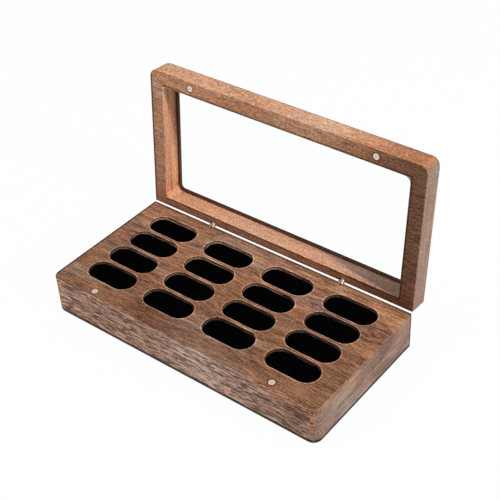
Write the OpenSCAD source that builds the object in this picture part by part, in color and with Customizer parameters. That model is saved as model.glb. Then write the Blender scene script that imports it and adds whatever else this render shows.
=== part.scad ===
// Ring display box: a walnut block with rows of velvet-padded ring slots, a glazed lid frame on
// two drill-in barrel hinges, and two pairs of disc magnets that hold the lid shut.
// The origin is the middle of the underside, +X runs along the block, +Y to the hinges, +Z up.
// The lid is drawn closed and then swung open about the hinge pins.

/* [Base block] */
// Length of the block, left to right
base_l = 220; // [204:1:260]
// Width of the block, front to hinge side
base_w = 106; // [99:0.5:130]
// Height of the block
base_h = 30; // [24:0.5:40]
// Radius of the two upright front corners, in plan
corner_r = 6.5; // [4:0.5:14]
// Radius of the rounded-over edges, below the block and above the lid
edge_r = 2.5; // [1:0.5:4.5]
// Bevel of the front and side edges where block and lid meet
edge_break = 0.4; // [0.2:0.1:0.6]

/* [Ring slots] */
// Length of one slot
slot_l = 38; // [34:0.5:42]
// Width of one slot
slot_w = 17.5; // [15:0.5:18.5]
// Wood between neighbouring slots along a row
slot_land_x = 12.5; // [8:0.1:14]
// Wood between neighbouring rows
slot_land_y = 3.4; // [2:0.1:5]
// Wood between the hinge side of the block and the last row
slot_land_back = 10.2; // [9:0.1:12]
// Wood left under the slots
slot_floor = 5; // [3:0.5:8]
// Bevel around the mouth of a slot
slot_rim = 0.5; // [0.2:0.1:0.8]

/* [Ring pads] */
// Clearance between a pad and the wall of its slot
pad_fit = 0.3; // [0.1:0.1:0.5]
// Depth of the crown of a pad below the face of the block
pad_sunk = 0.8; // [0.4:0.1:2]
// Fall of each lip of a pad from its crown to its edges
lip_fall = 1.2; // [0.6:0.1:2]
// Radius by which the two ends of a pad turn down
pad_end_r = 2; // [1:0.5:5]
// Width of the slit that grips the ring
slit_w = 0.8; // [0.4:0.1:1.6]
// Depth of the slit below the crown of the pad
slit_deep = 14; // [10:0.5:16]
// Thickness of the velvet
velvet_t = 0.8; // [0.5:0.1:1.2]
// Clearance between the velvet and the foam
foam_fit = 0.1; // [0.05:0.05:0.2]

/* [Lid frame] */
// Thickness of the lid
lid_t = 16; // [14:0.5:22]
// Width of the two side rails
rail_side = 11; // [9:0.2:16]
// Width of the front rail, at the free edge
rail_front = 10.9; // [8.5:0.1:16]
// Width of the rail at the hinges
rail_back = 6.4; // [6:0.2:10]
// Radius of the corners of the window
window_r = 4.5; // [3.5:0.5:8]
// Width of the lip that the pane lies on
lip_w = 1.5; // [1:0.1:2.5]
// Thickness of that lip
lip_t = 2.4; // [2:0.1:3.5]
// Gap left between the shut lid and the block
seam_gap = 0.1; // [0.05:0.05:0.3]
// Angle by which the lid stands open
open_angle = 95; // [90:1:98]

/* [Pane] */
// Thickness of the pane
pane_t = 2; // [1.5:0.1:3]
// Clearance around the edge of the pane
pane_fit = 0.15; // [0.05:0.05:0.3]

/* [Magnets] */
// Diameter of a disc magnet
magnet_d = 5; // [4:0.1:6]
// Thickness of a disc magnet
magnet_t = 2; // [1.5:0.5:4]
// Bevel of both edges of a magnet
magnet_break = 0.2; // [0.1:0.05:0.3]
// Distance of a magnet from the middle of the box, along X
magnet_x = 74; // [60:0.5:88]
// Distance of a magnet from the front face
magnet_front = 5.3; // [4:0.1:6]
// Radial clearance of a magnet in its hole
magnet_fit = 0.05; // [0.02:0.01:0.1]
// Depth of the face of a magnet below the wood
magnet_sunk = 0.05; // [0:0.05:0.2]

/* [Hinges] */
// Distance of a hinge from the middle of the box, along X
hinge_x = 55.5; // [40:0.5:60]
// Distance of the hinge pin behind the back face
pivot_back = 0.8; // [0.8:0.1:1.5]
// Diameter of the round hole that a hinge peg is pressed into
peg_hole_d = 5; // [4.4:0.1:5.2]
// Length of a hinge peg, from the pin to its end
peg_l = 6.5; // [5.5:0.1:6.6]
// Bevel of the far end of a hinge peg
peg_tip = 0.4; // [0.2:0.1:0.6]
// Radial clearance of a peg in its hole
peg_fit = 0.05; // [0.02:0.01:0.08]
// Radial clearance of the lapped knuckle in the mouth of the hole
knuckle_fit = 0.25; // [0.2:0.05:0.4]
// Angle of the holes to the upright
peg_angle = 45; // [43:1:45]
// Diameter of the hinge pin
pin_d = 1.6; // [1:0.1:2]
// Radial running clearance of the pin
pin_fit = 0.05; // [0.03:0.01:0.1]
// Gap between the two lapped tongues
lap_gap = 0.1; // [0.05:0.05:0.3]
// Clearance between the knuckle of one peg and the shoulder of the other
eye_gap = 0.15; // [0.1:0.05:0.3]
// Gap left at the open stop of the hinge
stop_gap = 0.05; // [0.02:0.01:0.08]
// Width of a grip groove round a peg
groove_w = 0.5; // [0.3:0.1:0.6]
// Depth of a grip groove
groove_deep = 0.25; // [0.1:0.05:0.4]

/* [Hidden] */
$fn = 96;

walnut = "#8f6247";
velvet_black = "#141416";
foam_grey = "#4a4a4e";
brass = "#c79a52";
nickel = "#c9ccd0";
clear_pane = "#cfe4ea66";

// How far a cutting shape runs past the surface that it cuts
past = 1;
// Depth of a peg hole past the end of its peg
hole_spare = 0.1;
// The eye stays this much inside the round of the knuckle that it is milled from
eye_inset = 0.15;
left = -1;
right = 1;
front = -1;
rear = 1;

slot_cols = 4;
slot_rows = 4;
pitch_x = slot_l + slot_land_x;
pitch_y = slot_w + slot_land_y;
slot_deep = base_h - slot_floor;
last_row_y = base_w / 2 - slot_land_back - slot_w / 2;

pad_l = slot_l - 2 * pad_fit;
pad_w = slot_w - 2 * pad_fit;
pad_h = slot_deep - pad_sunk;

window_deep = lid_t - lip_t;
window_l = base_l - 2 * rail_side;
window_w = base_w - rail_front - rail_back;
window_y = (rail_front - rail_back) / 2;

pivot_y = base_w / 2 + pivot_back;
pivot_z = base_h + seam_gap / 2;
peg_r = peg_hole_d / 2 - peg_fit;
knuckle_r = peg_hole_d / 2 - knuckle_fit;
eye_r = knuckle_r - eye_inset;
shoulder = knuckle_r + eye_gap;
shank_foot = peg_r + eye_gap;
peg_hole_deep = peg_l + hole_spare;
// Angle by which the two pegs pass the straight line when the lid is open
over_angle = open_angle + 2 * peg_angle - 180;
groove_count = 3;
groove_pitch = (peg_l - shank_foot) / (groove_count + 1);

// A slot outline with round ends, its long side along X
module stadium(length, width) {
    square([length - width, width], center = true);
    for (end = [left, right])
        translate([end * (length - width) / 2, 0])
            circle(d = width);
}

// A rectangle with four round corners
module round_rect(length, width, r) {
    square([length, width - 2 * r], center = true);
    square([length - 2 * r, width], center = true);
    for (x = [left, right])
        for (y = [front, rear])
            translate([x * (length / 2 - r), y * (width / 2 - r)])
                circle(r);
}

// Plan of the block and of the lid: round corners in front, square ones at the hinges
module box_plan() {
    translate([-base_l / 2, -base_w / 2 + corner_r])
        square([base_l, base_w - corner_r]);
    translate([-base_l / 2 + corner_r, -base_w / 2])
        square([base_l - 2 * corner_r, 2 * corner_r]);
    for (x = [left, right])
        translate([x * (base_l / 2 - corner_r), -base_w / 2 + corner_r])
            circle(corner_r);
}

// What a rounding-over cutter takes off an edge that lies at the origin, outward along x
module round_waste() {
    difference() {
        translate([-edge_r, -past])
            square([edge_r + past, edge_r + past]);
        translate([-edge_r, edge_r])
            circle(edge_r);
    }
}

// The same for a flat bevel
module bevel_waste() {
    polygon([[-edge_break - past, -past], [past, -past], [past, edge_break + past]]);
}

// A straight run of a waste section from the origin towards -Y
module edge_run(length) {
    rotate([90, 0, 0])
        linear_extrude(length)
            children();
}

// A quarter turn of a waste section round an upright corner, from +X to +Y
module edge_turn() {
    rotate_extrude(angle = 90)
        translate([corner_r, 0])
            children();
}

// Carries a waste section along the lower edges of the box outline, at the hinges only if all_round
module along_edges(all_round) {
    for (x = [0, 1])
        mirror([x, 0, 0])
            translate([base_l / 2, base_w / 2 + past, 0])
                edge_run(base_w - corner_r + past)
                    children();
    translate([base_l / 2 - corner_r, -base_w / 2, 0])
        rotate([0, 0, -90])
            edge_run(base_l - 2 * corner_r)
                children();
    if (all_round)
        translate([-base_l / 2 - past, base_w / 2, 0])
            rotate([0, 0, 90])
                edge_run(base_l + 2 * past)
                    children();
    translate([base_l / 2 - corner_r, -base_w / 2 + corner_r, 0])
        rotate([0, 0, -90])
            edge_turn()
                children();
    translate([-base_l / 2 + corner_r, -base_w / 2 + corner_r, 0])
        rotate([0, 0, 180])
            edge_turn()
                children();
}

// The box outline as a board with rounded lower edges and bevelled upper ones. The upper edge at
// the hinges stays sharp, so that the seam is narrow when the lid is open.
module eased_board(height) {
    difference() {
        linear_extrude(height)
            box_plan();
        along_edges(true)
            round_waste();
        translate([0, 0, height])
            mirror([0, 0, 1])
                along_edges(false)
                    bevel_waste();
    }
}

// Puts a piece at one slot: row 0 is the front row, column 0 is on the left
module at_slot(row, col) {
    x = (col - (slot_cols - 1) / 2) * pitch_x;
    y = last_row_y - (slot_rows - 1 - row) * pitch_y;
    translate([x, y, slot_floor])
        children();
}

// The hollow of one slot, with the bevel round its mouth
module slot_hollow() {
    straight = slot_l - slot_w;
    linear_extrude(slot_deep + past)
        stadium(slot_l, slot_w);
    translate([0, 0, slot_deep - slot_rim]) {
        for (end = [left, right])
            translate([end * straight / 2, 0, 0])
                cylinder(h = slot_rim + past, r1 = slot_w / 2, r2 = slot_w / 2 + slot_rim + past);
        translate([-straight / 2, 0, 0])
            rotate([90, 0, 90])
                linear_extrude(straight)
                    polygon([
                        [-slot_w / 2, 0],
                        [slot_w / 2, 0],
                        [slot_w / 2 + slot_rim + past, slot_rim + past],
                        [-slot_w / 2 - slot_rim - past, slot_rim + past]
                    ]);
    }
}

// Moves a piece from the origin to a hinge pin
module at_hinge(side) {
    translate([side * hinge_x, pivot_y, pivot_z])
        children();
}

// Turns a piece whose axis is +Z down into the block, or up into the shut lid
module into_base() {
    rotate([180 - peg_angle, 0, 0])
        children();
}

module into_lid() {
    rotate([peg_angle, 0, 0])
        children();
}

// The round hole for a hinge peg, from well outside the wood
module peg_hole() {
    translate([0, 0, -peg_hole_d])
        cylinder(h = peg_hole_d + peg_hole_deep, d = peg_hole_d);
}

// The hole for a magnet below a face that lies at z = 0
module magnet_hole() {
    deep = magnet_t + magnet_sunk;
    translate([0, 0, -deep])
        cylinder(h = deep + past, r = magnet_d / 2 + magnet_fit);
}

// A disc with both edges bevelled
module magnet() {
    face_r = magnet_d / 2 - magnet_break;
    color(nickel)
        translate([0, 0, -magnet_t - magnet_sunk]) {
            cylinder(h = magnet_break, r1 = face_r, r2 = magnet_d / 2);
            translate([0, 0, magnet_break])
                cylinder(h = magnet_t - 2 * magnet_break, d = magnet_d);
            translate([0, 0, magnet_t - magnet_break])
                cylinder(h = magnet_break, r1 = magnet_d / 2, r2 = face_r);
        }
}

module at_magnet(side, z) {
    translate([side * magnet_x, -base_w / 2 + magnet_front, z])
        children();
}

// Swings what is drawn on the shut lid open about the hinge pins
module opened() {
    translate([0, pivot_y, pivot_z])
        rotate([-open_angle, 0, 0])
            translate([0, -pivot_y, -pivot_z])
                children();
}

module base_block() {
    color(walnut)
        difference() {
            eased_board(base_h);
            for (row = [0 : slot_rows - 1])
                for (col = [0 : slot_cols - 1])
                    at_slot(row, col)
                        slot_hollow();
            for (side = [left, right]) {
                at_magnet(side, base_h)
                    magnet_hole();
                at_hinge(side)
                    into_base()
                        peg_hole();
            }
        }
}

module lid_frame() {
    inner_z = base_h + seam_gap;
    color(walnut)
        opened()
            difference() {
                translate([0, 0, inner_z + lid_t])
                    mirror([0, 0, 1])
                        eased_board(lid_t);
                translate([0, window_y, inner_z - past])
                    linear_extrude(window_deep + past)
                        round_rect(window_l, window_w, window_r);
                translate([0, window_y, inner_z])
                    linear_extrude(lid_t + past)
                        round_rect(window_l - 2 * lip_w, window_w - 2 * lip_w, window_r - lip_w);
                for (side = [left, right]) {
                    at_magnet(side, inner_z)
                        mirror([0, 0, 1])
                            magnet_hole();
                    at_hinge(side)
                        into_lid()
                            peg_hole();
                }
            }
}

// The pane lies in the window from inside, on the lip
module window_pane() {
    color(clear_pane)
        opened()
            translate([0, window_y, base_h + seam_gap + window_deep - pane_t])
                linear_extrude(pane_t)
                    round_rect(window_l - 2 * pane_fit, window_w - 2 * pane_fit, window_r - pane_fit);
}

module base_magnet(side) {
    at_magnet(side, base_h)
        magnet();
}

module lid_magnet(side) {
    opened()
        at_magnet(side, base_h + seam_gap)
            mirror([0, 0, 1])
                magnet();
}

// Side view of a tongue about the pin: a round eye, the web back to the shoulder, and the square
// heel that meets the shoulder of the other peg when the lid is open. heel is the side of the heel.
module tongue_side(heel) {
    circle(eye_r);
    translate([-eye_r, 0])
        square([2 * eye_r, shoulder + past]);
    mirror([heel == rear ? 1 : 0, 0])
        rotate(-over_angle)
            translate([-eye_r, stop_gap - shoulder])
                square([eye_r, shoulder]);
}

// One peg of a hinge: a round grooved shank along +Z and half of the lapped knuckle.
// lap is the side of the pin on which its tongue lies, heel the side of its stop.
module hinge_peg(lap, heel) {
    tongue_t = knuckle_r - lap_gap / 2;
    color(brass)
        difference() {
            union() {
                translate([0, 0, shank_foot])
                    cylinder(h = peg_l - peg_tip - shank_foot, r = peg_r);
                translate([0, 0, peg_l - peg_tip])
                    cylinder(h = peg_tip, r1 = peg_r, r2 = peg_r - peg_tip);
                translate([0, 0, shoulder])
                    cylinder(h = peg_l - shoulder, r = knuckle_r);
                intersection() {
                    translate([0, 0, -2 * knuckle_r])
                        cylinder(h = 2 * knuckle_r + shoulder + past, r = knuckle_r);
                    translate([lap * (lap_gap + tongue_t + past) / 2, 0, 0])
                        rotate([90, 0, 90])
                            linear_extrude(tongue_t + past, center = true)
                                tongue_side(heel);
                }
            }
            rotate([0, 90, 0])
                cylinder(h = 4 * peg_r, r = pin_d / 2 + pin_fit, center = true);
            for (i = [1 : groove_count])
                translate([0, 0, shank_foot + i * groove_pitch - groove_w / 2])
                    difference() {
                        cylinder(h = groove_w, r = peg_r + past);
                        cylinder(h = groove_w, r = peg_r - groove_deep);
                    }
        }
}

module hinge_base_peg(side) {
    at_hinge(side)
        into_base()
            hinge_peg(left, front);
}

module hinge_lid_peg(side) {
    opened()
        at_hinge(side)
            into_lid()
                hinge_peg(right, rear);
}

// The riveted pin lies flush with the rounds of the two tongues
module hinge_pin(side) {
    color(brass)
        at_hinge(side)
            rotate([0, 90, 0])
                cylinder(h = 2 * knuckle_r - lap_gap, d = pin_d, center = true);
}

// One lip of a pad in cross section, crowned by an arc, its foot at the origin
module lip_section(width, height) {
    crown_r = (width * width / 4 + lip_fall * lip_fall) / (2 * lip_fall);
    square([width, height - lip_fall]);
    intersection() {
        square([width, height]);
        translate([width / 2, height - crown_r])
            circle(crown_r);
    }
}

// Side view of a pad, both of whose ends turn down
module pad_side(length, height) {
    translate([-length / 2, 0])
        square([length, height - pad_end_r]);
    translate([-length / 2 + pad_end_r, 0])
        square([length - 2 * pad_end_r, height]);
    for (end = [left, right])
        translate([end * (length / 2 - pad_end_r), height - pad_end_r])
            circle(pad_end_r);
}

// The form of a pad taken in by inset on every side but the foot: a plug with two crowned lips
// and the slit between them
module pad_form(inset) {
    length = pad_l - 2 * inset;
    width = pad_w - 2 * inset;
    height = pad_h - inset;
    slit = slit_w + 2 * inset;
    lip = (width - slit) / 2;
    slit_foot = pad_h - slit_deep - inset;
    intersection() {
        linear_extrude(pad_h)
            stadium(length, width);
        rotate([90, 0, 90])
            linear_extrude(pad_l, center = true)
                union() {
                    translate([-width / 2, 0])
                        lip_section(lip, height);
                    translate([slit / 2, 0])
                        lip_section(lip, height);
                    translate([-width / 2, 0])
                        square([width, slit_foot]);
                }
        rotate([90, 0, 0])
            linear_extrude(pad_w, center = true)
                pad_side(length, height);
    }
}

// The velvet cover wraps the foam over the top, down the sides and into the slit
module ring_pad(row, col) {
    color(velvet_black)
        at_slot(row, col)
            difference() {
                pad_form(0);
                pad_form(velvet_t);
            }
}

module foam_core(row, col) {
    color(foam_grey)
        at_slot(row, col)
            pad_form(velvet_t + foam_fit);
}

base_block();
lid_frame();
window_pane();
base_magnet(left);  // base_magnet_left
base_magnet(right);  // base_magnet_right
lid_magnet(left);  // lid_magnet_left
lid_magnet(right);  // lid_magnet_right
hinge_base_peg(left);  // hinge_base_peg_left
hinge_base_peg(right);  // hinge_base_peg_right
hinge_lid_peg(left);  // hinge_lid_peg_left
hinge_lid_peg(right);  // hinge_lid_peg_right
hinge_pin(left);  // hinge_pin_left
hinge_pin(right);  // hinge_pin_right
ring_pad(0, 0);  // ring_pad_a1
ring_pad(0, 1);  // ring_pad_a2
ring_pad(0, 2);  // ring_pad_a3
ring_pad(0, 3);  // ring_pad_a4
ring_pad(1, 0);  // ring_pad_b1
ring_pad(1, 1);  // ring_pad_b2
ring_pad(1, 2);  // ring_pad_b3
ring_pad(1, 3);  // ring_pad_b4
ring_pad(2, 0);  // ring_pad_c1
ring_pad(2, 1);  // ring_pad_c2
ring_pad(2, 2);  // ring_pad_c3
ring_pad(2, 3);  // ring_pad_c4
ring_pad(3, 0);  // ring_pad_d1
ring_pad(3, 1);  // ring_pad_d2
ring_pad(3, 2);  // ring_pad_d3
ring_pad(3, 3);  // ring_pad_d4
foam_core(0, 0);  // foam_core_a1
foam_core(0, 1);  // foam_core_a2
foam_core(0, 2);  // foam_core_a3
foam_core(0, 3);  // foam_core_a4
foam_core(1, 0);  // foam_core_b1
foam_core(1, 1);  // foam_core_b2
foam_core(1, 2);  // foam_core_b3
foam_core(1, 3);  // foam_core_b4
foam_core(2, 0);  // foam_core_c1
foam_core(2, 1);  // foam_core_c2
foam_core(2, 2);  // foam_core_c3
foam_core(2, 3);  // foam_core_c4
foam_core(3, 0);  // foam_core_d1
foam_core(3, 1);  // foam_core_d2
foam_core(3, 2);  // foam_core_d3
foam_core(3, 3);  // foam_core_d4
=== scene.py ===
from math import radians

import bpy
import numpy as np
from mathutils import Euler, Matrix, Vector


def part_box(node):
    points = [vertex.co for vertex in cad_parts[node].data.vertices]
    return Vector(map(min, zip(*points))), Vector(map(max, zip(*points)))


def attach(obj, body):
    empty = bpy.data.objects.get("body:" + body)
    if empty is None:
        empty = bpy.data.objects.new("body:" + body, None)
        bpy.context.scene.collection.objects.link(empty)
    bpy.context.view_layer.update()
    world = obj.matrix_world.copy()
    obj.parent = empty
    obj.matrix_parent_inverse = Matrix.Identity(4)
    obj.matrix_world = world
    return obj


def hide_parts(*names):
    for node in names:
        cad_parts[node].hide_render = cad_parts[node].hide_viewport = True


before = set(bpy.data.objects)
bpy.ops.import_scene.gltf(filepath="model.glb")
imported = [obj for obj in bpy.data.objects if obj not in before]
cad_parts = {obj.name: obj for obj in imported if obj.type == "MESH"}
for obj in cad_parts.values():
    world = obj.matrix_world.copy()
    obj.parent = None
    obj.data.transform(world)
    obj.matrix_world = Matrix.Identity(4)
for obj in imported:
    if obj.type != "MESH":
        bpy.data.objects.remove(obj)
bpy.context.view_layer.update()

# Walnut. Block and lid are sawn from one board whose grain runs along the length, so both show
# its fibre streaks, its slow bands and clouds and its open pores, and a duller end grain. The wood
# is sanded and oiled to a soft sheen, and every mouth and edge is broken with a small bevel. Light
# and shade are also painted into the tone of both pieces: sheen, highlights, shadows and dark
# lines.
MM = 1000.0
SWING_OPEN = radians(95)
SEAM, LID_THICKNESS = 0.1, 16.0
SIDE_RAIL, FRONT_RAIL, BACK_RAIL = 11.0, 10.9, 6.4
PAD_FIT, SLOT_BEVEL = 0.3, 0.5
MAGNET_RADIUS = 2.5
# The sizes above and the figure are in millimetres. A surface counts as turned to an axis
# between the two shares of SQUARE_ON, and noise varies round HALFWAY.
SQUARE_ON = (0.5, 0.9)
HALFWAY = 0.5
WARM_BROWNS = [
    (0.12, (0.070, 0.024, 0.010)),
    (0.38, (0.190, 0.079, 0.038)),
    (0.58, (0.305, 0.137, 0.070)),
    (0.86, (0.470, 0.240, 0.135))]
DULL_BROWNS = [
    (0.12, (0.080, 0.048, 0.035)),
    (0.50, (0.255, 0.170, 0.132)),
    (0.86, (0.450, 0.330, 0.270))]
PORE_BROWN = (0.030, 0.014, 0.009)
PORE_SIZE = (10.0, 1.25, 1.25)


def middle(name):
    """The middle of a CAD node's box, in millimetres."""
    low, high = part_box(name)
    return MM * (low + high) / 2


block_low, block_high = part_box("base_block")
HALF_LENGTH, BACK, TOP = MM * block_high
FRONT = MM * block_low.y
LID_INNER = TOP + SEAM
LID_OUTER = LID_INNER + LID_THICKNESS
WINDOW_END = HALF_LENGTH - SIDE_RAIL
WINDOW_FRONT, WINDOW_BACK = FRONT + FRONT_RAIL, BACK - BACK_RAIL
PIN = middle("hinge_pin_left")
LAID_SHUT = tuple(PIN - Matrix.Rotation(SWING_OPEN, 3, "X") @ PIN)
MAGNET_X, MAGNET_Y = middle("base_magnet_right").xy
COLUMN_PITCH = (middle("ring_pad_a2") - middle("ring_pad_a1")).x
ROW_PITCH = (middle("ring_pad_b1") - middle("ring_pad_a1")).y
ROWS_MIDDLE = (middle("ring_pad_a1") + middle("ring_pad_d1")).y / 2
pad_low, pad_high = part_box("ring_pad_a1")
SLOT_LENGTH, SLOT_WIDTH = [MM * size + 2 * PAD_FIT for size in (pad_high - pad_low)[:2]]


class Field:
    """One output of a material's nodes, on which arithmetic adds Math nodes."""

    def __init__(self, finish, socket):
        self.finish = finish
        self.socket = socket

    def maths(self, operation, *values):
        """A Math node's result for the given values."""
        return self.finish.node("ShaderNodeMath", dict(enumerate(values)), operation=operation)

    def __add__(self, other):
        return self.maths("ADD", self, other)

    def __sub__(self, other):
        return self.maths("SUBTRACT", self, other)

    def __rsub__(self, other):
        return self.maths("SUBTRACT", other, self)

    def __mul__(self, other):
        return self.maths("MULTIPLY", self, other)

    def __abs__(self):
        return self.maths("ABSOLUTE", self)

    __radd__ = __add__
    __rmul__ = __mul__

    def rise(self, low, high):
        """0 below low, 1 above high and a smooth step between them; low may be the larger."""
        sockets = {"Value": self, "From Min": low, "From Max": high}
        return self.finish.node("ShaderNodeMapRange", sockets, interpolation_type="SMOOTHSTEP")


class Finish:
    """A procedural material: its node tree and its one shader."""

    def __init__(self, name):
        self.material = bpy.data.materials.new(name)
        self.material.use_nodes = True
        self.tree = self.material.node_tree
        self.shader = self.tree.nodes["Principled BSDF"]

    def node(self, kind, sockets=(), out=0, stops=None, **settings):
        """Adds a node, sets it, and then gives its sockets their values or links."""
        made = self.tree.nodes.new(kind)
        for key, value in settings.items():
            setattr(made, key, value)
        if stops:
            while len(made.color_ramp.elements) < len(stops):
                made.color_ramp.elements.new(1.0)
            for element, (place, colour) in zip(made.color_ramp.elements, stops):
                element.position = place
                element.color = (*colour, 1.0)
        self.fill(made, sockets)
        return Field(self, made.outputs[out])

    def fill(self, made, sockets):
        """Gives a node's sockets their values or links, by name or number."""
        for key, value in dict(sockets).items():
            socket = made.inputs[key]
            if isinstance(value, Field):
                self.tree.links.new(value.socket, socket)
            elif socket.type == "RGBA":
                socket.default_value = (*value, 1.0)
            else:
                socket.default_value = value

    def shade(self, sockets):
        """Gives the shader's sockets their values or links."""
        self.fill(self.shader, sockets)

    def place(self):
        """Where a point lies, in metres."""
        return self.node("ShaderNodeTexCoord", out="Object")

    def facing(self):
        """How squarely the surface faces along x, along y and along z, each from 0 to 1."""
        return [abs(part) for part in self.parts(self.node("ShaderNodeTexCoord", out="Normal"))]

    def glance(self):
        """0 where the surface is seen square on and 1 where it is seen edge on."""
        return self.node("ShaderNodeLayerWeight", {"Blend": 0.5}, out="Facing")

    def board(self, turn, shift):
        """Where a point lies in millimetres when its piece is laid back into the board."""
        sockets = {"Vector": self.place(), "Rotation": (turn, 0, 0), "Location": shift}
        return self.node("ShaderNodeMapping", {**sockets, "Scale": (MM, MM, MM)})

    def parts(self, vector):
        """The x, y and z of a vector."""
        split = self.node("ShaderNodeSeparateXYZ", {0: vector})
        return [Field(self, output) for output in split.socket.node.outputs]

    def vector(self, operation, *values):
        """A Vector Math node's result for the given values."""
        sockets = dict(enumerate(values))
        return self.node("ShaderNodeVectorMath", sockets, operation=operation)

    def stretch(self, where, size):
        """A place measured in steps of the given size along each axis."""
        return self.vector("MULTIPLY", where, tuple(1.0 / step for step in size))

    def noise(self, where, size, detail=2.0, roughness=0.5, out=0):
        """Smooth random values round a half, in patches of the given size along each axis, in
        the place's own units."""
        sockets = {"Vector": self.stretch(where, size), "Scale": 1.0}
        sockets.update({"Detail": detail, "Roughness": roughness})
        return self.node("ShaderNodeTexNoise", sockets, out=out)

    def mix(self, share, first, second, blend="MIX"):
        """The first colour where share is 0 and the second where it is 1."""
        share_socket, first_socket, second_socket, colour_out = 0, 6, 7, 2
        sockets = {share_socket: share, first_socket: first, second_socket: second}
        settings = {"data_type": "RGBA", "blend_type": blend}
        return self.node("ShaderNodeMix", sockets, out=colour_out, **settings)

    def bump(self, height, depth):
        """Relief of the given depth in metres where height goes from 0 to 1."""
        sockets = {"Height": height, "Distance": depth, "Strength": 1.0}
        self.shade({"Normal": self.node("ShaderNodeBump", sockets)})

    def coat(self, *names):
        """Gives CAD nodes this finish."""
        for name in names:
            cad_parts[name].material_slots[0].material = self.material


def walnut(name, turn, shift, tone_at, bold):
    """The board's figure. Slow noise sways the grain; streaks, hairs, bands and clouds are noise
    drawn out along it, and the end grain has rays across it; pores are long thin cells of a
    Voronoi pattern. turn and shift lay the piece back into the board in millimetres. tone_at
    takes a place in the board and how squarely the surface faces x, y and z, and gives how light,
    how grey and how red the wood is there, painted light and shade included. bold is how strong
    the figure is."""
    wood = Finish(name)
    board = wood.board(turn, shift)
    facing = wood.facing()
    end = facing[0].rise(0.6, 0.95)
    side = facing[1].rise(0.6, 0.95)
    flat = facing[2].rise(0.6, 0.95)
    corner = facing[0].rise(0.15, 0.4) * facing[0].rise(0.98, 0.85)
    light, grey, red = tone_at(*wood.parts(board), facing)

    sway = wood.noise(board, (85, 30, 26), detail=1.0, out="Color")
    grain = wood.vector("MULTIPLY_ADD", sway, (0, 11, 15), board)
    fibre = wood.noise(grain, (19, 1.1, 0.95), detail=3.0, roughness=0.72)
    ray = wood.noise(board, (2.5, 42, 1.15), detail=3.0, roughness=0.62)
    streak = fibre + end * (ray - fibre)
    hair = wood.noise(grain, (13, 0.75, 0.68), roughness=0.6)
    fleck = wood.noise(board, (1.7, 0.85, 0.75), detail=1.0, roughness=0.6)
    band = wood.noise(grain, (90, 4.2, 3.6), detail=3.0, roughness=0.55)
    cloud = wood.noise(grain, (55, 20, 18))

    calm = 1.0 + 0.3 * bold * side - 0.40 * flat - 0.6 * corner
    plain = 1.0 - 0.8 * end
    streaky = calm * (0.2 + 0.8 * bold) * (1.0 + 0.9 * end)
    hairy = calm * (0.2 + 2.0 * bold) * plain
    tone = HALFWAY + streaky * (streak - HALFWAY) + hairy * (hair - HALFWAY)
    tone = tone + 0.65 * bold * plain * (band - HALFWAY)
    tone = tone + 0.7 * bold * (cloud - HALFWAY) + 0.9 * (fleck - HALFWAY)
    warm = wood.node("ShaderNodeValToRGB", {0: tone}, stops=WARM_BROWNS)
    dull = wood.node("ShaderNodeValToRGB", {0: tone}, stops=DULL_BROWNS)
    dullness = wood.noise(board, (90, 22, 22)).rise(0.45, 0.68) * (0.15 + 0.35 * bold)
    colour = wood.mix(dullness + grey, warm, dull)

    cells = {"Vector": wood.stretch(grain, PORE_SIZE), "Scale": 1.0}
    pit = wood.node("ShaderNodeTexVoronoi", cells, out="Distance").rise(0.40, 0.30)
    crowd = wood.noise(grain, (26, 6, 6)).rise(0.24, 0.46)
    open_pores = bold * (0.25 + 0.70 * side) * (1.0 - end) * (1.0 - 0.8 * corner)
    pore = pit * crowd * open_pores
    colour = wood.mix(pore, colour, PORE_BROWN)
    shares = {0: light, 1: light * (1.0 - 0.14 * red), 2: light * (1.0 - 0.20 * red)}
    colour = wood.mix(1.0, colour, wood.node("ShaderNodeCombineColor", shares), "MULTIPLY")

    wood.shade({"Base Color": colour, "Roughness": 0.42 + 0.22 * streak})
    wood.shade({"Specular IOR Level": 0.22, "IOR": 1.45})
    wood.bump(0.5 * streak - pore, depth=0.00016)
    return wood


def from_magnet(x, y):
    """How far a place in the board lies from the middle of the nearest magnet."""
    along = abs(x) - MAGNET_X
    across = y - MAGNET_Y
    return x.maths("SQRT", along * along + across * across)


def magnet_ring(x, y):
    """1 on a magnet and on a thin line of wood round it, and 0 outside."""
    return from_magnet(x, y).rise(MAGNET_RADIUS + 0.5, MAGNET_RADIUS + 0.2)


def beyond_slot(x, y):
    """How far a place in the block lies outside the nearest slot. The slots repeat at their
    pitches, and each is all that lies within half its width of its straight middle line."""
    along = abs(abs(abs(x) - COLUMN_PITCH) - COLUMN_PITCH / 2) - (SLOT_LENGTH - SLOT_WIDTH) / 2
    along = along.maths("MAXIMUM", along, 0.0)
    across = abs(abs(abs(y - ROWS_MIDDLE) - ROW_PITCH) - ROW_PITCH / 2)
    return x.maths("SQRT", along * along + across * across) - SLOT_WIDTH / 2


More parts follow.
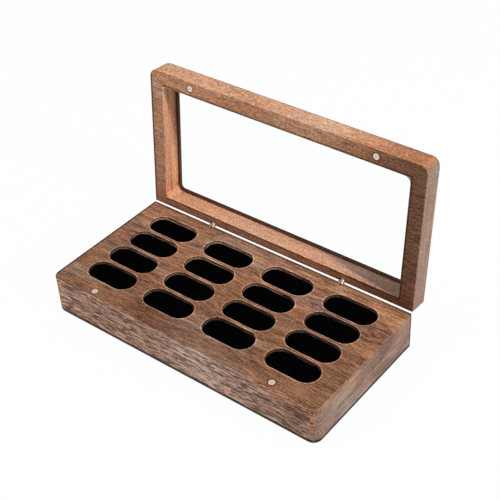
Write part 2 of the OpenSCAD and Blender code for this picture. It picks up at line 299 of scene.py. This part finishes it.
def block_tone(x, y, z, facing):
    """The top grows lighter towards the hinges. The ends are greyer, as duller end grain and as a
    painted sheen, and the front is greyer towards its left as a painted sheen. A painted highlight
    makes a pale rim on the land round each slot, and painted shade darkens the slot's bevel and its
    walls, the walls less towards the back and the left. A dark line runs round the magnets. Painted
    shade makes dark lines along the foot, the seam and the left end, and darkens the wood where it
    is seen edge on. The rounded edges of the top catch the light as a painted highlight."""
    glance = z.finish.glance()
    beyond = beyond_slot(x, y)
    in_slot = beyond.rise(SLOT_BEVEL + 0.02, SLOT_BEVEL - 0.08)
    near_top = z.rise(TOP - 2.0, TOP - 1.5)
    # Painted highlight: a pale rim on the land round each slot's mouth.
    land_highlight = beyond.rise(1.4, 0.9) * beyond.rise(SLOT_BEVEL - 0.05, SLOT_BEVEL + 0.05) * near_top
    bevel = in_slot * z.rise(TOP - 0.75, TOP - 0.55)
    wall = in_slot * z.rise(TOP - 0.55, TOP - 0.75) * z.rise(2, 3)
    level = facing[2].rise(0.5, 0.8) * near_top
    rounded = facing[2].rise(0.45, 0.66) * facing[2].rise(0.93, 0.76) * beyond.rise(0.8, 1.2)
    ends = facing[0].rise(*SQUARE_ON) * abs(x).rise(HALF_LENGTH - 9, HALF_LENGTH - 7)
    front = facing[1].rise(*SQUARE_ON) * y.rise(FRONT + 9, FRONT + 7)
    right = x.rise(20, 100)

    top_light = 0.85 + 0.40 * y.rise(-45, 50) + 0.75 * land_highlight - 0.09 * x.rise(80, 100)
    top_light = top_light + 0.20 * x.rise(0, 40) * y.rise(30, 50)
    # Painted shade darkens each slot's bevel and walls, the walls less towards the back and the
    # left.
    end_light, bevel_light = 0.74, 0.14
    front_light = 1.25 - 0.20 * right
    wall_light = 0.28 + 0.95 * y.rise(-25, 35) * x.rise(60, 0)
    light = top_light + ends * (end_light - top_light) + front * (front_light - top_light)
    light = light + bevel * (bevel_light - top_light) + wall * (wall_light - top_light)

    magnet_line = magnet_ring(x, y) * level
    # Painted shade: dark lines along the foot where it is seen edge on, along the seam at the back
    # and along the left end.
    foot_shade = z.rise(4.5, 3.6) * z.rise(0.05, 0.25) * glance.rise(0.15, 0.38)
    seam_shade = y.rise(BACK - 1.8, BACK - 1.0) * (level + ends)
    left_edge_shade = x.rise(2.0 - HALF_LENGTH, 1.2 - HALF_LENGTH) * level
    light = light * (1.0 - 0.8 * magnet_line) * (1.0 - 0.93 * foot_shade)
    light = light * (1.0 - 0.7 * seam_shade) * (1.0 - 0.85 * left_edge_shade)
    # Painted shade where the wood is seen edge on, and a painted highlight on the rounded edges of
    # the top.
    light = light * (1.0 - 0.6 * glance.rise(0.72, 0.95)) + 0.2 * rounded
    # The ends are greyer as duller end grain and as a painted sheen, and the front greyer towards
    # its left as a painted sheen; the painted land highlight and the shaded slot walls are greyer,
    # and the shaded bevel redder.
    grey = 0.48 * ends + (0.36 - 0.3 * right) * front + 0.35 * land_highlight + 0.4 * wall
    return light, grey, 2.2 * bevel


def lid_tone(x, y, z, facing):
    """The rails darken towards the right, and towards the hinges they carry painted shade from the
    block and a painted red bounce light from it. The ends are greyer, as end grain and as a painted
    sheen. The window's walls lie in paler wood, and the free edge in paler wood with painted light.
    Painted shadows fall across the walls, the top rail's across the left wall and the right rail's,
    slanting and grey, across the wall at the hinges, and the walls darken towards the right as
    painted shade. The lip behind the pane is darkened and reddened as painted shade. Dark lines run
    round the magnets, and painted shade makes dark lines round the window, along the outer edges,
    the left edge and the free edge, and along the seam. Places are those of the shut lid; facing is
    that of the open one."""
    right = x.rise(25, 100)
    near_hinges = y.rise(25, 52)
    free_left = y.rise(-36, -44) * x.rise(90, 20)
    near_free = y.rise(FRONT + 8, FRONT + 6)
    free_edge = facing[2].rise(*SQUARE_ON) * near_free
    ends = facing[0].rise(*SQUARE_ON) * abs(x).rise(HALF_LENGTH - 8, HALF_LENGTH - 6)
    inside = abs(x).rise(WINDOW_END + 0.3, WINDOW_END)
    inside = inside * y.rise(WINDOW_FRONT - 0.4, WINDOW_FRONT - 0.1)
    inside = inside * y.rise(WINDOW_BACK + 0.4, WINDOW_BACK + 0.1)
    hinge_wall = y.rise(WINDOW_BACK - 5.1, WINDOW_BACK - 0.6)
    lip = inside * z.rise(LID_OUTER - 2.7, LID_OUTER - 2.3)

    # Painted shade: dark lines round the window's mouth and along the seam, joined by the dark line
    # round the magnets.
    mouth_shade = y.rise(WINDOW_FRONT - 1.8, WINDOW_FRONT - 1.0)
    mouth_shade = mouth_shade * y.rise(WINDOW_BACK + 1.7, WINDOW_BACK + 0.9)
    mouth_shade = mouth_shade * x.rise(-WINDOW_END, 0.5 - WINDOW_END)
    mouth_shade = mouth_shade * x.rise(WINDOW_END + 1.8, WINDOW_END + 0.9)
    seam_shade = y.rise(BACK - 1.2, BACK - 0.4)
    line = mouth_shade + seam_shade - mouth_shade * seam_shade + magnet_ring(x, y)
    line = line * z.rise(LID_INNER + 0.2, LID_INNER + 0.1)
    # Painted shade from the block darkens the rails towards the hinges.
    rail_light = 1.38 - 0.88 * right - 0.34 * near_hinges + 0.25 * right * near_hinges
    rail_light = (rail_light + 0.20 * free_left) * (1.0 - 0.65 * line)

    # Painted shadow of the right rail, slanting and greyer across the wall at the hinges, with a
    # deeper band inside it.
    slope = x + 4.0 * z
    rail_shadow = slope.rise(196, 214)
    shadow_band = rail_shadow * slope.rise(245, 214)
    paler = 0.72 - 0.45 * rail_shadow - 0.30 * right - 0.30 * shadow_band
    # The walls darken towards the right as painted shade.
    wall_light = 1.85 - 0.7 * right + hinge_wall * paler
    # Painted shadow of the top rail across the left wall.
    shadow = (y - 3.6 * z).rise(-148, -154) * (1.0 - hinge_wall) * (1.0 - right)
    wall_light = wall_light - 0.45 * shadow
    # The free edge is paler wood and painted light besides.
    free_light = 2.50 - 0.75 * right
    end_light, lip_light = 0.85, 0.20
    light = rail_light + inside * (wall_light - rail_light)
    light = light + free_edge * (free_light - rail_light) + ends * (end_light - rail_light)
    # Painted shade: the lip behind the pane is darkened here and reddened below.
    light = light + lip * (lip_light - light)

    # Painted shade: dark lines along the outer edges, the left edge and the back of the free edge.
    outer_edge_shade = z.rise(LID_OUTER - 1.5, LID_OUTER - 0.7) * (1.0 - lip)
    left_edge_shade = x.rise(2.2 - HALF_LENGTH, 1.5 - HALF_LENGTH) * (1.0 - ends)
    free_edge_shade = z.rise(LID_OUTER - 2.8, LID_OUTER - 2.0) * facing[2].rise(0.3, 0.6) * near_free
    light = light * (1.0 - 0.4 * outer_edge_shade) * (1.0 - 0.75 * left_edge_shade) * (1.0 - 0.65 * free_edge_shade)
    # The ends are greyer as end grain and as a painted sheen.
    grey = 0.75 * ends + free_edge * (0.12 - 0.35 * right)
    grey = grey + inside * hinge_wall * (0.12 + 0.20 * right + 0.35 * rail_shadow)
    # The red towards the hinges is a painted bounce light from the block, and the lip's red goes
    # with its painted shade.
    red = 1.2 * near_hinges - 0.3 * (1.0 - right) + free_edge * (1.1 * right - 0.4)
    red = red + 3.0 * lip + inside * (0.1 - 1.1 * hinge_wall)
    return light, grey, red


block_wood = walnut("block_walnut", turn=0.0, shift=(0, 0, 0), tone_at=block_tone, bold=1.0)
block_wood.coat("base_block")
lid_wood = walnut("lid_walnut", turn=SWING_OPEN, shift=LAID_SHUT, tone_at=lid_tone, bold=0.3)
lid_wood.coat("lid_frame")

# Ring pads. Each is a plug of foam wrapped in black velvet and pushed into its slot. The cover
# is tucked into a slit along the middle, which makes two crowned lips that grip a ring, and is
# turned down over both ends.
ROWS, COLUMNS = "abcd", "1234"
PAD_LENGTH, PAD_WIDTH, PAD_HEIGHT = pad_high - pad_low
SLIT_WIDTH, SLIT_DEPTH = 0.0008, 0.014
END_TURN, SLIT_END = 0.002, 0.007
LIP_FALL, SLIT_FALL, CROWN_POWER = 0.0012, 0.6, 4
END_STOP, END_CROWDING = 0.00012, 0.45
SOFT_FROM = 0.6
WAVE_SIZES, WAVE_SHARE = (0.019, 0.0085, 0.0042), 0.010
STATIONS, ACROSS, DOWN = 73, 19, 15


def pad_surface(seed):
    """A closed tube along the slot, with its stations closer together towards the ends. At each
    station x the half width is that of a stadium, the crown height falls as a quarter circle near
    the ends, and the section runs up one wall, over a crown that falls with the fourth power of
    the distance from the lip's middle, down into the slit, which closes towards the ends, and
    over the other lip. Slow waves sink its upper part a little and make it uneven."""
    rng = np.random.default_rng(seed)
    half_l, half_w = PAD_LENGTH / 2, PAD_WIDTH / 2
    turn = np.linspace(-1, 1, STATIONS)
    spread = END_CROWDING * np.sin(turn * np.pi / 2) + (1 - END_CROWDING) * turn
    x = spread * (half_l - END_STOP)
    past = np.maximum(np.abs(x) - (half_l - half_w), 0)
    wide = np.sqrt(half_w ** 2 - past ** 2)
    drop = np.maximum(np.abs(x) - (half_l - END_TURN), 0)
    crown = PAD_HEIGHT - END_TURN + np.sqrt(np.maximum(END_TURN ** 2 - drop ** 2, 0))
    closing = np.clip((half_l - np.abs(x)) / SLIT_END, 0.02, 1)
    slit = SLIT_WIDTH / 2 * closing

    wall = np.linspace(0, 1, DOWN)[:-1]
    slit_side = 1 - np.linspace(0, 1, DOWN)[1:]
    upright = np.ones(DOWN - 1)
    lip = np.sin(np.linspace(-1, 1, ACROSS) * np.pi / 2)
    share_y = np.concatenate([-upright, lip, upright])
    level = np.concatenate([wall, np.ones(ACROSS), slit_side])
    in_slit = np.concatenate([np.zeros(DOWN - 1 + ACROSS), upright])
    dome = np.sqrt(1 - np.abs(lip) ** CROWN_POWER)
    dome = 1 - np.where(lip > 0, SLIT_FALL * closing[:, None], 1) * (1 - dome)
    no_dome = np.zeros((STATIONS, DOWN - 1))
    lift = np.concatenate([no_dome, dome, no_dome], 1)

    lip_middle = (wide + slit)[:, None] / 2
    reach = (wide - slit)[:, None] / 2
    edge = (crown - LIP_FALL)[:, None]
    lip_y = -lip_middle + reach * share_y
    low = in_slit * (PAD_HEIGHT - SLIT_DEPTH)
    lip_z = low + (edge - low) * level + LIP_FALL * lift
    left = np.stack([lip_y, lip_z], -1)
    right = np.stack([-lip_y[:, ::-1], lip_z[:, ::-1]], -1)
    section = np.concatenate([left, right], 1)
    along = np.repeat(x[:, None], section.shape[1], 1)
    points = np.concatenate([along[..., None], section], -1)

    soft = np.clip((points[..., 2] / PAD_HEIGHT - SOFT_FROM) / (1 - SOFT_FROM), 0, 1)
    for size in WAVE_SIZES:
        wave = rng.uniform(0.7, 1.3, 2) / size
        phase = rng.uniform(0, 2 * np.pi, 3)
        swell = np.sin(points[..., 0] * wave[0] + phase[0] + np.sign(points[..., 1]) * phase[2])
        swell = swell * np.cos(points[..., 1] * wave[1] + phase[1])
        points[..., 2] -= WAVE_SHARE * size * soft * (1 + swell)
    return points


def closed_tube(name, points):
    """A mesh whose rings of points are closed round and whose two ends are capped."""
    rings, around = points.shape[:2]
    index = np.arange(rings * around).reshape(rings, around)
    after = np.roll(index, -1, 1)
    quads = np.stack([index[:-1], index[1:], after[1:], after[:-1]], -1).reshape(-1, 4)
    faces = [*quads.tolist(), index[0].tolist(), index[-1][::-1].tolist()]
    mesh = bpy.data.meshes.new(name)
    mesh.from_pydata(points.reshape(-1, 3).tolist(), [], faces)
    mesh.polygons.foreach_set("use_smooth", np.ones(len(mesh.polygons), bool))
    piece = bpy.data.objects.new(name, mesh)
    bpy.context.scene.collection.objects.link(piece)
    return piece


velvet = Finish("black_velvet")
nap = velvet.place()
pile = velvet.noise(nap, (0.00022, 0.00022, 0.00022), roughness=0.6)
brushed = velvet.noise(nap, (0.006, 0.0025, 0.006)).rise(0.35, 0.7)
black = velvet.mix(brushed * 0.6 + pile * 0.3, (0.0003, 0.0003, 0.0005), (0.0012, 0.0012, 0.0017))
velvet.shade({"Base Color": black, "Roughness": 1.0, "Specular IOR Level": 0.01})
velvet.bump(pile, depth=0.00012)

for row_number, row in enumerate(ROWS):
    for column_number, column in enumerate(COLUMNS):
        node = f"ring_pad_{row}{column}"
        low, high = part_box(node)
        surface = pad_surface(10 * row_number + column_number)
        surface += np.array([(low.x + high.x) / 2, (low.y + high.y) / 2, low.z])
        pad = closed_tube(f"velvet_pad_{row}{column}", surface)
        pad.data.materials.append(velvet.material)
        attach(pad, "base")
        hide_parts(node)

# Foam cores. They are sawn blocks of grey open-cell foam that fill the velvet covers and press
# them against the ring, and they lie wholly inside the covers.
foam = Finish("grey_foam")
foam_cells = foam.noise(foam.place(), (0.0006, 0.0006, 0.0006), detail=3.0, roughness=0.6)
foam.shade({"Base Color": foam.mix(foam_cells, (0.05, 0.05, 0.055), (0.14, 0.14, 0.15))})
foam.shade({"Roughness": 0.95, "Specular IOR Level": 0.1})
foam.bump(foam_cells, depth=0.0003)
foam.coat(*(f"foam_core_{row}{column}" for row in ROWS for column in COLUMNS))

# Window pane. It is cut from clear float glass with its edges left plain, and laid into the lid
# from inside against the lip.
CLEAR_SHARE = 0.995
glass = Finish("clear_pane")
tint = glass.noise(glass.place(), (0.03, 0.03, 0.03))
glass.shade({"Base Color": glass.mix(tint, (1.0, 1.0, 1.0), (0.99, 1.0, 0.995))})
glass.shade({"Roughness": 0.0, "IOR": 1.45, "Transmission Weight": 1.0})
clear = glass.node("ShaderNodeBsdfTransparent", {0: (0.995, 1.0, 1.0)})
shade_ray = glass.node("ShaderNodeLightPath", out="Is Shadow Ray")
skin = Field(glass, glass.shader.outputs[0])
seen_through = CLEAR_SHARE * glass.glance().rise(0.98, 0.55) + shade_ray
pane = glass.node("ShaderNodeMixShader", {0: seen_through, 1: skin, 2: clear})
glass.fill(glass.tree.nodes["Material Output"], {0: pane})
glass.coat("window_pane")

# Disc magnets. They are sintered neodymium discs in bright nickel plate with bevelled edges,
# glued into flat-bottomed holes, just below the wood, and dark glue shows round them. A painted
# highlight makes them brightest round a duller middle, and the block's discs are painted lighter
# than the lid's, as lit and shaded copies of one plate.
GLUE_BROWN = (0.03, 0.015, 0.01)
# The block's discs are painted lighter than the lid's, as lit and shaded copies of one plate.
for part, turn, shift, bright, dull in (
        ("base", 0.0, (0, 0, 0), (0.97, 0.77, 0.68), (0.78, 0.64, 0.58)),
        ("lid", SWING_OPEN, LAID_SHUT, (0.84, 0.64, 0.54), (0.66, 0.52, 0.46))):
    nickel = Finish(f"{part}_nickel_plate")
    laid_back = nickel.board(turn, shift)
    scuff = nickel.noise(laid_back, (0.4, 2.0, 0.4), detail=3.0, roughness=0.6)
    distance = from_magnet(*nickel.parts(laid_back)[:2])
    # Painted highlight: bright round the rim, duller in the middle.
    plate = nickel.mix(distance.rise(1.5, 0.8), bright, dull)
    glue = distance.rise(MAGNET_RADIUS - 0.35, MAGNET_RADIUS - 0.2)
    nickel.shade({"Base Color": nickel.mix(glue, plate, GLUE_BROWN), "Metallic": 0.5})
    nickel.shade({"Roughness": 0.32 + 0.2 * scuff})
    nickel.bump(scuff, depth=0.00001)
    nickel.coat(f"{part}_magnet_left", f"{part}_magnet_right")

# Hinges. Two drill-in barrel hinges of turned and milled brass, darkened to a rosy brown by
# painted shade and a painted reflection of the wood round them. Their grooved pegs are pressed
# into holes bored at 45 degrees, and a riveted pin joins the two tongues.
HINGE_PARTS = ("hinge_base_peg", "hinge_lid_peg", "hinge_pin")
brass = Finish("brass_with_painted_shade")
milling = brass.noise(brass.place(), (0.0015, 0.00025, 0.00025), detail=3.0, roughness=0.6)
# Painted shade and a painted reflection of the wood: the brass is coloured a dark rosy brown.
brass.shade({"Base Color": brass.mix(milling, (0.60, 0.38, 0.28), (0.16, 0.08, 0.06))})
brass.shade({"Metallic": 1.0, "Roughness": 0.30 + 0.22 * milling})
brass.bump(milling, depth=0.00002)
brass.coat(*(f"{part}_{side}" for part in HINGE_PARTS for side in ("left", "right")))

# Studio. A white sweep under the box, a small light low on the right, a large soft one over the
# front left, and a plain pale room that is duller in reflections.
FLOOR_SIZE, FLOOR_GLOW = 3.0, 0.96
ROOM_LIGHT, ROOM_GLEAM = 0.62, 0.35
LAMP_AIM = (0.0, 0.02, 0.06)
floor_corners = [(-1, -1, 0), (1, -1, 0), (1, 1, 0), (-1, 1, 0)]
floor_mesh = bpy.data.meshes.new("floor")
floor_mesh.from_pydata([Vector(c) * FLOOR_SIZE for c in floor_corners], [], [(0, 1, 2, 3)])
floor = bpy.data.objects.new("floor", floor_mesh)
bpy.context.scene.collection.objects.link(floor)
paper = Finish("white_sweep")
mottle = paper.noise(paper.place(), (0.4, 0.4, 0.4))
paper.shade({"Base Color": paper.mix(mottle, (0.86, 0.86, 0.86), (0.88, 0.88, 0.88))})
paper.shade({"Roughness": 0.9, "Specular IOR Level": 0.1})
camera_ray, glossy_ray, clear_ray = [
    paper.node("ShaderNodeLightPath", out=f"Is {kind} Ray")
    for kind in ("Camera", "Glossy", "Transmission")]
glow = paper.node("ShaderNodeEmission", {"Color": (1.0, 1.0, 1.0), "Strength": 1.0})
shaded = Field(paper, paper.shader.outputs[0])
glow_share = (camera_ray + glossy_ray + clear_ray).rise(0.0, 1.0) * FLOOR_GLOW
sweep = paper.node("ShaderNodeMixShader", {0: glow_share, 1: shaded, 2: glow})
paper.fill(paper.tree.nodes["Material Output"], {0: sweep})
floor.data.materials.append(paper.material)

world = bpy.data.worlds.new("room")
bpy.context.scene.world = world
world.use_nodes = True
wire = world.node_tree.links.new
background = world.node_tree.nodes["Background"]
background.inputs["Color"].default_value = (1.0, 1.0, 1.0, 1.0)
ray_kind = world.node_tree.nodes.new("ShaderNodeLightPath")
room_strength = world.node_tree.nodes.new("ShaderNodeMapRange")
room_strength.inputs["To Min"].default_value = ROOM_LIGHT
room_strength.inputs["To Max"].default_value = ROOM_GLEAM
seen_strength = world.node_tree.nodes.new("ShaderNodeMapRange")
seen_strength.inputs["To Max"].default_value = 1.0
wire(ray_kind.outputs["Is Glossy Ray"], room_strength.inputs["Value"])
wire(ray_kind.outputs["Is Camera Ray"], seen_strength.inputs["Value"])
wire(room_strength.outputs[0], seen_strength.inputs["To Min"])
wire(seen_strength.outputs[0], background.inputs["Strength"])


def lamp(name, place, aim, size, power):
    """A square area light that faces aim. power is in watts."""
    source = bpy.data.lights.new(name, "AREA")
    source.size = size
    source.energy = power
    lamp_head = bpy.data.objects.new(name, source)
    lamp_head.location = place
    lamp_head.rotation_euler = (Vector(aim) - Vector(place)).to_track_quat("-Z", "Y").to_euler()
    bpy.context.scene.collection.objects.link(lamp_head)


lamp("key", place=(1.60, -0.09, 0.84), aim=LAMP_AIM, size=0.16, power=23.0)
lamp("fill", place=(-0.9, -1.3, 1.5), aim=LAMP_AIM, size=1.6, power=14.0)

# Camera. It stands where the photograph was taken from, high over the right front corner of the
# box, with the same lens on a 36 mm sensor.
CAMERA_PLACE = (0.369457, -0.413906, 0.499133)
CAMERA_TURN = (51.947, 2.606, 37.889)
lens = bpy.data.cameras.new("camera")
lens.sensor_width = 36.0
lens.lens = 79.16
lens.clip_start = 0.01
camera = bpy.data.objects.new("camera", lens)
camera.location = CAMERA_PLACE
camera.rotation_euler = Euler([radians(angle) for angle in CAMERA_TURN], "XYZ")
bpy.context.scene.collection.objects.link(camera)
bpy.context.scene.camera = camera

bpy.context.scene.view_settings.view_transform = "Standard"
